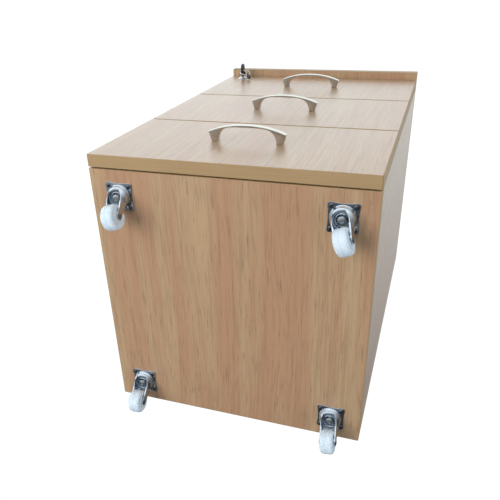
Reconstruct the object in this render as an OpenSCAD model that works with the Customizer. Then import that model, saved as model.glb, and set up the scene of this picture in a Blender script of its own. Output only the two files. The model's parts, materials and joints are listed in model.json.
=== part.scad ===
// Three-drawer mobile pedestal on four swivel castors, with a gang lock.
// Millimetres. +Z is up, the drawer fronts face -Y, and the wheels stand on z = 0.

/* [Carcass] */
// Width of the carcass and of the drawer fronts
carcass_w = 400; // [340:1:520]
// Depth of the side panels, without the drawer fronts
carcass_d = 400; // [380:1:560]
// Thickness of the carcass boards
board_t = 18; // [16:1:20]
// Thickness of the back panel
back_t = 12; // [5:1:16]
// Overhang of the top panel in front of the drawer fronts
top_lip = 14; // [0:1:30]

/* [Drawer fronts] */
// Height of each drawer front
front_h = 205; // [185:1:260]
// Thickness of each drawer front
front_t = 18; // [16:1:20]
// Gap between one front and the next
front_seam = 3; // [2:0.5:6]
// Gap between the top front and the top panel
top_seam = 2; // [1:0.5:5]
// Gap between the closed fronts and the carcass
bumper_gap = 2; // [1:0.5:4]

/* [Drawer boxes] */
// Length of the drawer sides
box_l = 350; // [300:1:365]
// Height of the drawer sides
box_h = 135; // [110:1:140]
// Thickness of the drawer sides and back
box_t = 12; // [10:0.5:15]
// Thickness of the drawer base
base_t = 5; // [3:0.5:6]
// Height of the drawer sides above the lower edge of the front
box_lift = 28; // [24:1:34]
// Height of the base above the lower edge of the drawer sides
base_lift = 10; // [6:1:16]
// How deep the base sits in its grooves
groove_d = 6; // [4:0.5:8]

/* [Slides] */
// Thickness of a slide, from the carcass side to the drawer side
slide_t = 12.7; // [12.7:0.1:14]
// Height of the cabinet member of a slide
slide_h = 35; // [30:1:45]
// Length of every slide member
slide_l = 350; // [300:1:360]
// Sheet thickness of the slide members
slide_sheet = 1.2; // [1:0.1:1.5]
// Running gap between one slide member and the next
slide_gap = 0.4; // [0.3:0.05:0.5]
// Height of the middle of a slide above the lower edge of the drawer side
slide_lift = 60; // [35:1:70]
// Setback of the slides from the front edge of the carcass sides
slide_setback = 2; // [1:0.5:6]

/* [Handles] */
// Distance between the two handle screws
handle_pitch = 96; // [64:32:128]
// Height of a handle bar, measured up the drawer front
handle_w = 10; // [8:0.5:14]
// How far the crown of a handle stands out
handle_reach = 26; // [22:0.5:32]
// How far the shoulders of a handle stand out
shoulder_reach = 15; // [12:0.5:18]
// Thickness of a handle bar at its crown
handle_t = 3.6; // [3:0.1:5]
// Width of a handle foot where it meets the front
foot_w = 9; // [8:0.5:12]
// How far a shoulder stands out sideways past its screw
shoulder_out = 9; // [6:0.5:12]
// Diameter of the handle screws
handle_screw_d = 4; // [3:0.5:5]

/* [Lock] */
// Distance of the lock from the left edge of the top drawer front
lock_inset = 32; // [28:1:34]
// Distance of the lock below the top edge of the top drawer front
lock_drop = 26; // [18:1:27]
// Diameter of the lock's bezel
bezel_d = 20; // [18:0.5:24]
// Diameter of the lock housing
housing_d = 16; // [14:0.5:17]
// Diameter of the turning plug
plug_d = 11; // [10:0.5:12]
// Distance of the crank pin from the plug's axis
crank_r = 6; // [5:0.25:6.5]
// Diameter of the crank pin
crank_pin_d = 4; // [3:0.25:4.5]
// Angle that the key turns through
key_turn = 90; // [60:1:90]
// How far the key stands out from the drawer front
key_reach = 30; // [26:1:36]
// Height of the key's bow
bow_h = 18; // [14:0.5:18]
// Thickness of the key's bow
bow_t = 3.5; // [3:0.1:3.5]
// Radius of the key ring
ring_r = 11; // [10.5:0.5:14]
// Thickness of the key ring's wire
ring_wire = 1.6; // [1.2:0.1:1.8]
// Width of the locking bar
bar_w = 15; // [12:0.5:18]
// Thickness of the locking bar
bar_t = 5; // [4:0.5:6]
// Diameter of the pins on the locking bar
bar_pin_d = 5; // [4:0.5:6]

/* [Castors] */
// Height from the floor to the underside of the carcass
castor_h = 52; // [50:0.5:60]
// Wheel diameter
wheel_d = 36; // [30:0.5:38]
// Wheel width over both treads
wheel_w = 20; // [16:0.5:22]
// Distance of a wheel's axle behind its swivel pivot
trail = 18.5; // [16:0.5:22]
// Distance of a swivel pivot from the side of the carcass
castor_inset_x = 44; // [30:1:60]
// Distance of a swivel pivot from the front or back of the carcass
castor_inset_y = 37.5; // [30:0.5:60]
// Width of a mounting plate
plate_w = 41; // [36:0.5:44]
// Thickness of a mounting plate
plate_t = 1.8; // [1.5:0.1:2.5]
// Distance between the screws of a mounting plate
plate_pitch = 30.5; // [28:0.5:33]
// Diameter of a kingpin
kingpin_d = 6; // [5:0.5:8]
// Diameter of an axle
axle_d = 5; // [4:0.5:6]
// Diameter of a bearing ball
ball_d = 3.5; // [3:0.25:3.75]

/* [Hidden] */

$fn = 64;
eps = 0.01;

// Clearances
slip = 0.05;        // radial clearance of a turning or sliding round fit
fixed = 0.03;       // radial clearance of a screw, dowel or rivet that doesn't turn
seat = 0.3;         // gap between faces on different bodies that almost touch

// Colours
beech = [0.80, 0.66, 0.48];
board_inner = [0.86, 0.84, 0.80];
zinc = [0.72, 0.75, 0.78];
nickel = [0.66, 0.65, 0.62];
black = [0.08, 0.08, 0.09];
nylon = [0.93, 0.95, 0.98];

// Carcass levels, from the floor up
carcass_z = castor_h;
deck_z = carcass_z + board_t;
fronts_h = 3 * front_h + 2 * front_seam + top_seam;
top_z = carcass_z + fronts_h;
inner_w = carcass_w - 2 * board_t;

// Depth: the origin lies midway between the key's bow and the back
body_d = front_t + bumper_gap + carcass_d;
front_y = (key_reach - body_d) / 2;
front_inner_y = front_y + front_t;
carcass_y = front_inner_y + bumper_gap;
carcass_back_y = carcass_y + carcass_d;

// Drawer boxes
box_w = inner_w - 2 * slide_t;
drawer_pitch = front_h + front_seam;
base_gap = 0.2;     // play of the drawer base in its grooves

function front_z(level) = carcass_z + level * drawer_pitch;
function box_z(level) = front_z(level) + box_lift;
function slide_z(level) = box_z(level) + slide_lift;

// Lock mechanism
lock_x = -carcass_w / 2 + lock_inset;
lock_z = front_z(2) + front_h - lock_drop;
bezel_t = 2.5;
housing_tail = 5;                // how far the housing stands out behind the drawer front
crank_y = front_inner_y + housing_tail + seat;
crank_t = 2.5;
crank_pin_end = 1;               // how far the crank pin comes through the lug
crank_pin_play = 0.4;            // play of the crank pin in the bar's slot
bar_y = carcass_y + 22;          // middle of the locking bar
bar_groove = bar_t + 2 * seat;   // depth of the bar's groove in the left side
bar_foot_z = deck_z + 14;
lug_t = 3;
lug_h = 14;
lug_rim = 3;                     // width of the lug past the end of its slot
slot_play = 0.75;                // play of the crank pin at each end of the slot
catch_l = 10;
catch_h = 12;
catch_reach = 8;
bar_pin_reach = 8;
bar_rivet_d = bar_pin_d - 2;     // shank of a pin, riveted through the bar
catch_lift = 110;                // height of a catch above the drawer side's lower edge
pin_under_catch = 2;             // gap between an unlocked pin and its catch
pin_before_catch = 1.5;          // gap between a locked pin and its catch
bow_gap = 1.5;                   // gap between the bezel and the key's bow
bow_hole_d = 8;
bow_hole_out = 17;               // distance of the bow's hole from the drawer front
ring_lean = 20;                  // lean of the key ring towards the drawer front
blade_w = 6.5;
blade_t = 2;
blade_root = 2;                  // how far the blade runs into the bow
blade_end_gap = 1;
spare_bow_l = 13;
spare_bow_w = 8;
spare_hole_in = 3;               // distance of the spare key's hole from the end of its bow
spare_blade_l = 16;

// Castor levels, from the floor up
axle_z = wheel_d / 2;
plate_z = castor_h - plate_t;
race_h = 4;
race_z = plate_z - race_h;
race_d = 33;
race_taper = 2;      // how much the race narrows all round towards the floor
ball_ring_r = 9.5;
ball_count = 12;
crown_gap = 2;
crown_t = 2;
crown_z = race_z - crown_gap - crown_t;
leg_gap = 0.5;
leg_t = 1.4;
leg_x = wheel_w / 2 + leg_gap;
leg_shoulder = 3;    // height of the legs' straight sides under the crown
leg_boss_r = 5;
crown_front = 8;
crown_back = 10;
kingpin_head_d = 13;
kingpin_head_t = 3;
kingpin_taper = 1.5;
kingpin_top_gap = 0.2;
axle_head_d = axle_d + 2.5;
axle_head_t = 0.8;
axle_dimple_d = axle_d - 2;
axle_dimple = 1;
screw_head_d = 7;
screw_head_t = 2.2;
screw_taper = 1;
screw_shank_d = 3.6;
screw_l = 14;
// Swivel angle of each castor: front left, front right, back left, back right
castor_turn = [14, 22, 3, 9];

function castor_x(corner) = (corner % 2 == 0 ? -1 : 1) * (carcass_w / 2 - castor_inset_x);
function castor_y(corner) = corner < 2 ? carcass_y + castor_inset_y : carcass_back_y - castor_inset_y;

// Cam fittings that hold the sides to the bottom and top panels
cam_d = 15;
cam_t = 12;
cam_in = 34;        // distance of a cam from the end of its side panel
cam_bolt_d = 7;
cam_bolt_bite = 11; // depth of a cam bolt in the bottom or top panel
cam_bolt_gap = 0.5; // gap between the end of a cam bolt and its cam
cam_bolt_l = cam_bolt_bite + cam_in - cam_d / 2 - cam_bolt_gap;
cam_from_edge = 50; // distance of the outer cams from the front and back edges

module slab(x, y, z) {
    translate([x[0], y[0], z[0]]) cube([x[1] - x[0], y[1] - y[0], z[1] - z[0]]);
}

// Cylinder along Y, from y0 to y1, about (x, z)
module along_y(d, x, z, y0, y1) {
    translate([x, y0, z]) rotate([-90, 0, 0]) cylinder(d = d, h = y1 - y0);
}

// Cylinder along X, from x0 to x1, about (y, z)
module along_x(d, y, z, x0, x1) {
    translate([x0, y, z]) rotate([0, 90, 0]) cylinder(d = d, h = x1 - x0);
}

module both_sides() {
    children();
    mirror([1, 0, 0]) children();
}

/* Carcass */

module cam_places() {
    for (y = [carcass_y + cam_from_edge, carcass_back_y - cam_from_edge])
        translate([-carcass_w / 2 + board_t / 2, y, 0]) children();
}

module cam_bolt_shape(grow) {
    for (foot_z = [deck_z - cam_bolt_bite, top_z + cam_bolt_bite - cam_bolt_l])
        cam_places() translate([0, 0, foot_z - grow])
            cylinder(d = cam_bolt_d + 2 * grow, h = cam_bolt_l + 2 * grow);
}

module cam_shape(grow) {
    open_end = grow > 0 ? eps : 0;
    for (z = [deck_z + cam_in, top_z - cam_in])
        cam_places() along_x(cam_d + 2 * grow, 0, z, board_t / 2 - cam_t - grow, board_t / 2 + open_end);
}

module cam_bolts() {
    color(zinc) both_sides() cam_bolt_shape(0);
}

module cam_locks() {
    color(zinc) both_sides() cam_shape(0);
}

module top_panel() {
    color(beech) difference() {
        slab([-carcass_w / 2, carcass_w / 2], [front_y - top_lip, carcass_back_y], [top_z, top_z + board_t]);
        both_sides() cam_bolt_shape(fixed);
    }
}

module bottom_panel() {
    color(beech) difference() {
        slab([-carcass_w / 2, carcass_w / 2], [carcass_y, carcass_back_y], [carcass_z, deck_z]);
        both_sides() cam_bolt_shape(fixed);
        for (corner = [0 : 3])
            castor_screw_places(corner)
                translate([0, 0, -eps])
                    cylinder(d = screw_shank_d + 2 * fixed, h = screw_l - plate_t + fixed + eps);
    }
}

module side_shape() {
    difference() {
        slab([-carcass_w / 2, -inner_w / 2], [carcass_y, carcass_back_y], [deck_z, top_z]);
        cam_bolt_shape(fixed);
        cam_shape(fixed);
    }
}

module left_side() {
    color(beech) difference() {
        side_shape();
        slab([-inner_w / 2 - bar_groove, -inner_w / 2 + eps],
             [bar_y - bar_w / 2 - seat, bar_y + bar_w / 2 + seat],
             [bar_foot_z - seat, top_z + eps]);
    }
}

module right_side() {
    color(beech) mirror([1, 0, 0]) side_shape();
}

module back_panel() {
    color(board_inner)
        slab([-inner_w / 2, inner_w / 2], [carcass_back_y - back_t, carcass_back_y], [deck_z, top_z]);
}

/* Slides: three nested channels, drawn for the left side */

module channel(x0, x1, half_h, web_at_start) {
    web_x = web_at_start ? x0 : x1 - slide_sheet;
    translate([-inner_w / 2, carcass_y + slide_setback + slide_l, 0])
        rotate([90, 0, 0]) linear_extrude(slide_l) {
            translate([web_x, -half_h]) square([slide_sheet, 2 * half_h]);
            translate([x0, half_h - slide_sheet]) square([x1 - x0, slide_sheet]);
            translate([x0, -half_h]) square([x1 - x0, slide_sheet]);
        }
}

middle_half_h = slide_h / 2 - slide_sheet - slide_gap;
inner_half_h = middle_half_h - slide_sheet - slide_gap;
cabinet_rail_gap = 3.5;  // gap between the cabinet members and the drawer sides
middle_rail_gap = 2.2;   // gap between the middle members and the drawer sides

module cabinet_rails() {
    color(zinc) for (level = [0 : 2])
        translate([0, 0, slide_z(level)]) both_sides()
            channel(0, slide_t - cabinet_rail_gap, slide_h / 2, true);
}

module middle_rails(level) {
    color(zinc) translate([0, 0, slide_z(level)]) both_sides()
        channel(slide_sheet + slide_gap, slide_t - middle_rail_gap, middle_half_h, true);
}

module drawer_rails(level) {
    color(zinc) translate([0, 0, slide_z(level)]) both_sides()
        channel(2 * (slide_sheet + slide_gap), slide_t, inner_half_h, false);
}

/* Drawers */

module handle_screw_places(level) {
    for (x = [-handle_pitch / 2, handle_pitch / 2])
        translate([x, 0, front_z(level) + front_h / 2]) children();
}

module base_slab(level, grow) {
    half_w = box_w / 2 - box_t + groove_d - base_gap + grow;
    front_end = front_inner_y - groove_d + base_gap - grow;
    back_end = front_inner_y + box_l - box_t + groove_d - base_gap + grow;
    foot_z = box_z(level) + base_lift;
    slab([-half_w, half_w], [front_end, back_end], [foot_z - grow, foot_z + base_t + grow]);
}

module front_board(level) {
    color(beech) difference() {
        slab([-carcass_w / 2, carcass_w / 2],
             [front_y, front_inner_y],
             [front_z(level), front_z(level) + front_h]);
        base_slab(level, base_gap);
        handle_screw_places(level)
            along_y(handle_screw_d + 2 * fixed, 0, 0, front_y - eps, front_inner_y + eps);
        if (level == 2)
            along_y(housing_d + 2 * fixed, lock_x, lock_z, front_y - eps, front_inner_y + eps);
    }
}

module box_side_shape(level) {
    difference() {
        slab([-box_w / 2, -box_w / 2 + box_t],
             [front_inner_y, front_inner_y + box_l],
             [box_z(level), box_z(level) + box_h]);
        base_slab(level, base_gap);
    }
}

module box_left(level) {
    color(board_inner) box_side_shape(level);
}

module box_right(level) {
    color(board_inner) mirror([1, 0, 0]) box_side_shape(level);
}

module box_back(level) {
    color(board_inner) difference() {
        slab([-box_w / 2 + box_t, box_w / 2 - box_t],
             [front_inner_y + box_l - box_t, front_inner_y + box_l],
             [box_z(level), box_z(level) + box_h]);
        base_slab(level, base_gap);
    }
}

module box_base(level) {
    color(board_inner) base_slab(level, 0);
}

// Outline of a handle seen from above: x along the handle, y out from the front
module handle_outline() {
    foot_lean = 1;
    inner_drop = 3;   // how far the inner arch ends below the shoulders
    half = handle_pitch / 2;
    outer_x = half + shoulder_out;
    outer_rise = handle_reach - shoulder_reach;
    outer_r = (outer_x * outer_x + outer_rise * outer_rise) / (2 * outer_rise);
    inner_x = half - foot_w / 2 - foot_lean;
    inner_rise = handle_reach - handle_t - shoulder_reach + inner_drop;
    inner_r = (inner_x * inner_x + inner_rise * inner_rise) / (2 * inner_rise);
    intersection() {
        translate([0, handle_reach - outer_r]) circle(r = outer_r, $fn = 180);
        difference() {
            polygon([
                [-outer_x, shoulder_reach], [-half - foot_w / 2, 0],
                [half + foot_w / 2, 0], [outer_x, shoulder_reach],
                [outer_x, handle_reach], [-outer_x, handle_reach]
            ]);
            intersection() {
                translate([0, handle_reach - handle_t - inner_r]) circle(r = inner_r, $fn = 180);
                polygon([
                    [-half + foot_w / 2, -1], [half - foot_w / 2, -1],
                    [inner_x, shoulder_reach], [inner_x, handle_reach],
                    [-inner_x, handle_reach], [-inner_x, shoulder_reach]
                ]);
            }
        }
    }
}

handle_screw_bite = 8;
handle_head_d = 8;
handle_head_t = 2.5;

module handle(level) {
    color(nickel) difference() {
        translate([0, front_y, front_z(level) + front_h / 2 - handle_w / 2])
            linear_extrude(handle_w) mirror([0, 1]) handle_outline();
        handle_screw_places(level)
            along_y(handle_screw_d + 2 * fixed, 0, 0, front_y - handle_screw_bite - fixed, front_y + eps);
    }
}

module handle_screws(level) {
    color(zinc) handle_screw_places(level) {
        along_y(handle_screw_d, 0, 0, front_y - handle_screw_bite, front_inner_y + eps);
        along_y(handle_head_d, 0, 0, front_inner_y, front_inner_y + handle_head_t);
    }
}

/* Lock */

function catch_z(level) = box_z(level) + catch_lift;
function bar_pin_z(level) = catch_z(level) - pin_under_catch - bar_pin_d / 2;
function crank_pin_x() = crank_r * cos(key_turn / 2);
function crank_pin_z() = -crank_r * sin(key_turn / 2);

module lock_catch(level) {
    catch_y = bar_y + bar_pin_d / 2 + pin_before_catch;
    color(black)
        slab([-box_w / 2 - catch_reach, -box_w / 2],
             [catch_y, catch_y + catch_l],
             [catch_z(level), catch_z(level) + catch_h]);
}

// The bar with its riveted pins, and the slotted lug that sits in a notch in its front edge
module locking_bar() {
    bar_x = -inner_w / 2 - seat;
    bar_top_z = lock_z + lug_h / 2;
    slot_in = lock_x + crank_r + crank_pin_d / 2 + slot_play;
    slot_out = lock_x + crank_pin_x() - crank_pin_d / 2 - slot_play;
    slot_h = crank_pin_d + 2 * crank_pin_play;
    pin_z = lock_z + crank_pin_z();
    color(zinc) {
        difference() {
            slab([bar_x - bar_t, bar_x], [bar_y - bar_w / 2, bar_y + bar_w / 2], [bar_foot_z, bar_top_z]);
            slab([bar_x - bar_t - eps, bar_x + eps],
                 [bar_y - bar_w / 2 - eps, bar_y - bar_w / 2 + lug_t + fixed],
                 [pin_z - lug_h / 2 - fixed, pin_z + lug_h / 2 + fixed]);
            for (level = [0 : 2])
                along_x(bar_rivet_d + 2 * fixed, bar_y, bar_pin_z(level), bar_x - bar_t - eps, bar_x + eps);
        }
        difference() {
            slab([bar_x - bar_t, slot_in + lug_rim],
                 [bar_y - bar_w / 2, bar_y - bar_w / 2 + lug_t],
                 [pin_z - lug_h / 2, pin_z + lug_h / 2]);
            slab([slot_out, slot_in],
                 [bar_y - bar_w / 2 - eps, bar_y - bar_w / 2 + lug_t + eps],
                 [pin_z - slot_h / 2, pin_z + slot_h / 2]);
        }
        for (level = [0 : 2])
            union() {
                along_x(bar_pin_d, bar_y, bar_pin_z(level), bar_x + fixed, -inner_w / 2 + bar_pin_reach);
                along_x(bar_rivet_d, bar_y, bar_pin_z(level), bar_x - bar_t, bar_x + fixed + eps);
            }
    }
}

module lock_housing() {
    color(nickel) difference() {
        union() {
            along_y(bezel_d, lock_x, lock_z, front_y - bezel_t, front_y);
            along_y(housing_d, lock_x, lock_z, front_y - eps, front_inner_y + housing_tail);
        }
        along_y(plug_d + 2 * slip, lock_x, lock_z, front_y - bezel_t - eps, front_inner_y + housing_tail + eps);
    }
}

module blade_slab(grow, y0, y1) {
    slab([lock_x - blade_t / 2 - grow, lock_x + blade_t / 2 + grow], [y0, y1],
         [lock_z - blade_w / 2 - grow, lock_z + blade_w / 2 + grow]);
}

module lock_plug() {
    color(nickel) union() {
        difference() {
            along_y(plug_d, lock_x, lock_z, front_y - bezel_t, crank_y);
            blade_slab(fixed, front_y - bezel_t - eps, front_inner_y);
        }
        along_y(housing_d, lock_x, lock_z, crank_y, crank_y + crank_t);
        along_y(crank_pin_d, lock_x + crank_pin_x(), lock_z + crank_pin_z(),
                crank_y + crank_t - eps, bar_y - bar_w / 2 + lug_t + crank_pin_end);
    }
}

module key() {
    bow_y = front_y - bezel_t - bow_gap;
    color(black) union() {
        blade_slab(0, bow_y - blade_root, front_inner_y - blade_end_gap);
        difference() {
            slab([lock_x - bow_t / 2, lock_x + bow_t / 2], [front_y - key_reach, bow_y],
                 [lock_z - bow_h / 2, lock_z + bow_h / 2]);
            along_x(bow_hole_d, front_y - bow_hole_out, lock_z, lock_x - bow_t, lock_x + bow_t);
        }
    }
}

// Local frame of the ring: x along its wire in the bow's hole, y towards its middle
module at_ring() {
    translate([lock_x, front_y - bow_hole_out, lock_z]) rotate([ring_lean - 90, -45, 0]) children();
}

module key_ring() {
    color(nickel) at_ring() translate([0, ring_r, 0])
        rotate_extrude() translate([ring_r, 0]) circle(d = ring_wire);
}

module spare_key() {
    hole_y = 2 * ring_r;
    color(black) at_ring() union() {
        difference() {
            slab([-bow_t / 2, bow_t / 2],
                 [hole_y - spare_hole_in, hole_y - spare_hole_in + spare_bow_l],
                 [-spare_bow_w / 2, spare_bow_w / 2]);
            along_x(ring_wire + 2 * seat, hole_y, 0, -bow_t, bow_t);
        }
        slab([-bow_t / 2 - spare_blade_l, 0],
             [hole_y + spare_hole_in, hole_y + spare_hole_in + blade_w],
             [-blade_t / 2, blade_t / 2]);
    }
}

/* Castors */

module at_castor(corner) {
    translate([castor_x(corner), castor_y(corner), 0]) rotate([0, 0, -castor_turn[corner]]) children();
}

module castor_screw_places(corner) {
    for (x = [-1, 1], y = [-1, 1])
        translate([castor_x(corner) + x * plate_pitch / 2, castor_y(corner) + y * plate_pitch / 2, castor_h])
            children();
}

// Square plate with rounded ears and hollow sides
module plate_outline() {
    ear_r = 4.5;
    bite_r = 30;
    bite_d = 2.2;
    difference() {
        union() {
            square([plate_w, plate_w - 2 * ear_r], center = true);
            square([plate_w - 2 * ear_r, plate_w], center = true);
            for (x = [-1, 1], y = [-1, 1])
                translate([x, y] * (plate_w / 2 - ear_r)) circle(r = ear_r);
        }
        for (turn = [0, 90, 180, 270])
            rotate(turn) translate([plate_w / 2 - bite_d + bite_r, 0]) circle(r = bite_r, $fn = 120);
        for (x = [-1, 1], y = [-1, 1])
            translate([x, y] * (plate_pitch / 2)) circle(d = screw_shank_d + 2 * slip);
        circle(d = kingpin_d + 2 * fixed);
    }
}

module ball_groove(z) {
    translate([0, 0, z]) rotate_extrude() translate([ball_ring_r, 0]) circle(d = ball_d + 2 * slip);
}

ball_z = race_z - crown_gap / 2;

module castor_plates() {
    color(zinc) for (corner = [0 : 3]) translate([castor_x(corner), castor_y(corner), 0]) union() {
        translate([0, 0, plate_z]) linear_extrude(plate_t) plate_outline();
        difference() {
            translate([0, 0, race_z]) cylinder(d1 = race_d - 2 * race_taper, d2 = race_d, h = race_h + eps);
            translate([0, 0, race_z - eps]) cylinder(d = kingpin_d + 2 * fixed, h = race_h + 1);
            ball_groove(ball_z);
        }
    }
}

module castor_screws() {
    color(zinc) for (corner = [0 : 3]) castor_screw_places(corner) {
        translate([0, 0, -plate_t - screw_head_t])
            cylinder(d1 = screw_head_d - 2 * screw_taper, d2 = screw_head_d, h = screw_head_t);
        translate([0, 0, -plate_t - eps]) cylinder(d = screw_shank_d, h = screw_l + eps);
    }
}

module castor_kingpins() {
    color(zinc) for (corner = [0 : 3]) translate([castor_x(corner), castor_y(corner), 0]) {
        translate([0, 0, crown_z - seat - eps])
            cylinder(d = kingpin_d, h = castor_h - kingpin_top_gap - crown_z + seat + eps);
        translate([0, 0, crown_z - seat - kingpin_head_t])
            cylinder(d1 = kingpin_head_d - 2 * kingpin_taper, d2 = kingpin_head_d, h = kingpin_head_t);
    }
}

module castor_balls() {
    color(zinc) for (corner = [0 : 3], i = [0 : ball_count - 1])
        translate([castor_x(corner), castor_y(corner), ball_z]) rotate([0, 0, i * 360 / ball_count])
            translate([ball_ring_r, 0, 0]) sphere(d = ball_d);
}

// Side view of a fork leg: x behind the pivot, y up from the floor
module leg_outline() {
    difference() {
        union() {
            translate([trail, axle_z]) circle(r = leg_boss_r);
            polygon([
                [-crown_front, crown_z + crown_t], [-crown_front, crown_z - leg_shoulder],
                [trail - leg_boss_r, axle_z], [trail + leg_boss_r, axle_z],
                [crown_back, crown_z - leg_shoulder], [crown_back, crown_z + crown_t]
            ]);
        }
        translate([trail, axle_z]) circle(d = axle_d + 2 * fixed);
    }
}

module fork(corner) {
    color(zinc) at_castor(corner) difference() {
        union() {
            translate([0, 0, crown_z]) cylinder(r = leg_x + leg_t, h = crown_t);
            slab([-leg_x - leg_t, leg_x + leg_t], [-crown_front, crown_back], [crown_z, crown_z + crown_t]);
            for (x = [-leg_x - leg_t, leg_x])
                translate([x, 0, 0]) rotate([90, 0, 90]) linear_extrude(leg_t) leg_outline();
        }
        translate([0, 0, crown_z - eps]) cylinder(d = kingpin_d + 2 * slip, h = crown_t + 1);
        ball_groove(ball_z);
    }
}

module axle(corner) {
    half = leg_x + leg_t;
    end = half + axle_head_t;
    color(zinc) at_castor(corner) difference() {
        union() {
            along_x(axle_d, trail, axle_z, -end, end);
            both_sides() along_x(axle_head_d, trail, axle_z, half, end);
        }
        both_sides() along_x(axle_dimple_d, trail, axle_z, end - axle_dimple, end + eps);
    }
}

// Half section of a wheel: x out from the axle, y along it
module wheel_outline() {
    edge_r = 4;
    tread_groove = 1.2;
    hub_w = 2.5;
    dish_w = 4;
    hub_dish = 1.5;
    difference() {
        union() {
            translate([0, -wheel_w / 2]) square([axle_z - edge_r, wheel_w]);
            translate([0, -wheel_w / 2 + edge_r]) square([axle_z, wheel_w - 2 * edge_r]);
            for (y = [-1, 1])
                translate([axle_z - edge_r, y * (wheel_w / 2 - edge_r)]) circle(r = edge_r);
        }
        translate([axle_z + tread_groove, 0]) circle(r = 2 * tread_groove);
        for (y = [-1, 1])
            translate([axle_d / 2 + hub_w, y * wheel_w / 2 - hub_dish]) square([dish_w, 2 * hub_dish]);
        translate([-1, -wheel_w]) square([axle_d / 2 + slip + 1, 2 * wheel_w]);
    }
}

module wheel(corner) {
    color(nylon) at_castor(corner)
        translate([0, trail, axle_z]) rotate([0, 90, 0]) rotate_extrude() wheel_outline();
}

top_panel();
bottom_panel();
left_side();
right_side();
back_panel();
cam_bolts();
cam_locks();
cabinet_rails();
middle_rails(0);  // middle_rails_bottom
middle_rails(1);  // middle_rails_middle
middle_rails(2);  // middle_rails_top
drawer_rails(0);  // drawer_rails_bottom
drawer_rails(1);  // drawer_rails_middle
drawer_rails(2);  // drawer_rails_top
front_board(0);  // front_bottom
front_board(1);  // front_middle
front_board(2);  // front_top
box_left(0);  // box_left_bottom
box_left(1);  // box_left_middle
box_left(2);  // box_left_top
box_right(0);  // box_right_bottom
box_right(1);  // box_right_middle
box_right(2);  // box_right_top
box_back(0);  // box_back_bottom
box_back(1);  // box_back_middle
box_back(2);  // box_back_top
box_base(0);  // box_base_bottom
box_base(1);  // box_base_middle
box_base(2);  // box_base_top
handle(0);  // handle_bottom
handle(1);  // handle_middle
handle(2);  // handle_top
handle_screws(0);  // handle_screws_bottom
handle_screws(1);  // handle_screws_middle
handle_screws(2);  // handle_screws_top
lock_catch(0);  // lock_catch_bottom
lock_catch(1);  // lock_catch_middle
lock_catch(2);  // lock_catch_top
locking_bar();
lock_housing();
lock_plug();
key();
key_ring();
spare_key();
castor_plates();
castor_screws();
castor_kingpins();
castor_balls();
fork(0);  // fork_front_left
fork(1);  // fork_front_right
fork(2);  // fork_back_left
fork(3);  // fork_back_right
axle(0);  // axle_front_left
axle(1);  // axle_front_right
axle(2);  // axle_back_left
axle(3);  // axle_back_right
wheel(0);  // wheel_front_left
wheel(1);  // wheel_front_right
wheel(2);  // wheel_back_left
wheel(3);  // wheel_back_right
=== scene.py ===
"""Looks for a three-drawer mobile pedestal with castors, arched handles and a keyed gang lock."""

import json
from math import atan2, cos, pi, radians, sin

import bmesh
import bpy
from mathutils import Matrix, Vector


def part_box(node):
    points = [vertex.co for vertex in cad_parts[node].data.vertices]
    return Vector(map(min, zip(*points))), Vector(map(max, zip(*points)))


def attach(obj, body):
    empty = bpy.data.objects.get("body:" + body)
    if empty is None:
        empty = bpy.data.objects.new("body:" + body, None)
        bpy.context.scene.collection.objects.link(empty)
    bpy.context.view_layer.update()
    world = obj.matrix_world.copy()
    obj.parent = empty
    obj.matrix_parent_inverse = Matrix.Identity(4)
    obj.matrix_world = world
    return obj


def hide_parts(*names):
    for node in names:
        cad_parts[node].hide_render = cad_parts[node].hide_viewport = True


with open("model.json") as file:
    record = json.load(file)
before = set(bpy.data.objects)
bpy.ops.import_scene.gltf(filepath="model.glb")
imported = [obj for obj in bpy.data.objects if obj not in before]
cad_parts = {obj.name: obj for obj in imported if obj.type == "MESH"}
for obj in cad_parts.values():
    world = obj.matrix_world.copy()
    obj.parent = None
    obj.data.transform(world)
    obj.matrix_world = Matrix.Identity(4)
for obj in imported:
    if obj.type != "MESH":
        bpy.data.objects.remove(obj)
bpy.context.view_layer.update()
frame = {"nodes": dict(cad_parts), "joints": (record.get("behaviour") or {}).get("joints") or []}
joints = {joint["name"]: joint for joint in frame["joints"]}

MM = 0.001
LEVELS = ("bottom", "middle", "top")
CORNERS = ("front_left", "front_right", "back_left", "back_right")


# ---------------------------------------------------------------- camera, floor and light

def look(position, forward, up):
    """A matrix that stands at position, looks along forward and has up upwards."""
    ahead = Vector(forward).normalized()
    right = ahead.cross(Vector(up)).normalized()
    above = right.cross(ahead)
    turn = Matrix((right, above, -ahead)).transposed()
    return Matrix.Translation(position) @ turn.to_4x4()


def add_camera():
    data = bpy.data.cameras.new("camera")
    data.lens = 40.9
    data.shift_x = 0.031
    data.shift_y = 0.061
    data.clip_start = 0.01
    camera = bpy.data.objects.new("camera", data)
    camera.matrix_world = look((0.2486, -0.4155, -0.6058), (-0.2985, 0.4855, 0.8217), (-0.128, -0.877, 0.464))
    bpy.context.scene.collection.objects.link(camera)
    bpy.context.scene.camera = camera


def add_area_light(name, position, target, size, power):
    """A soft square light that gives no highlights: those come from the world."""
    data = bpy.data.lights.new(name, "AREA")
    data.size = size
    data.energy = power
    light = bpy.data.objects.new(name, data)
    light.matrix_world = look(position, Vector(target) - Vector(position), (0, 0, 1))
    light.visible_glossy = False
    bpy.context.scene.collection.objects.link(light)


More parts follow.
